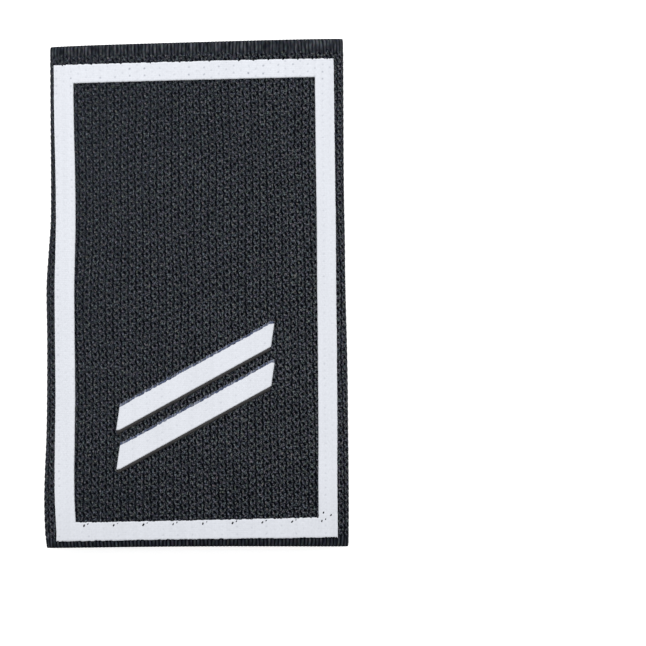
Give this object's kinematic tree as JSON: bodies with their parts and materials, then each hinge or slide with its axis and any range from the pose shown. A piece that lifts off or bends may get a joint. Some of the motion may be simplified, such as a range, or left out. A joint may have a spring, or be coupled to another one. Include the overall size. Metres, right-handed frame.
{
  "type": "rank slide",
  "caption": "Flat woven black tube with a raised white frame and diagonal white stripes on its face, pushed over a shoulder strap to show rank.",
  "frame": {"origin": "middle of the footprint, on the surface that the slide lies on", "axes": "+Z out of the decorated face, +Y along the tube towards its upper end, +X to the right as the face is read"},
  "size_m": [0.058, 0.096, 0.0075],
  "materials": {
    "black_weave": "blue-black bird's-eye weave, matt, with ribbed ends",
    "white_weave": "dense cool white weave, matt, slightly raised"
  },
  "bodies": {
    "root": {"sleeve": "black_weave", "border": "white_weave", "upper_stripe": "white_weave", "lower_stripe": "white_weave"}
  },
  "joints": []
}
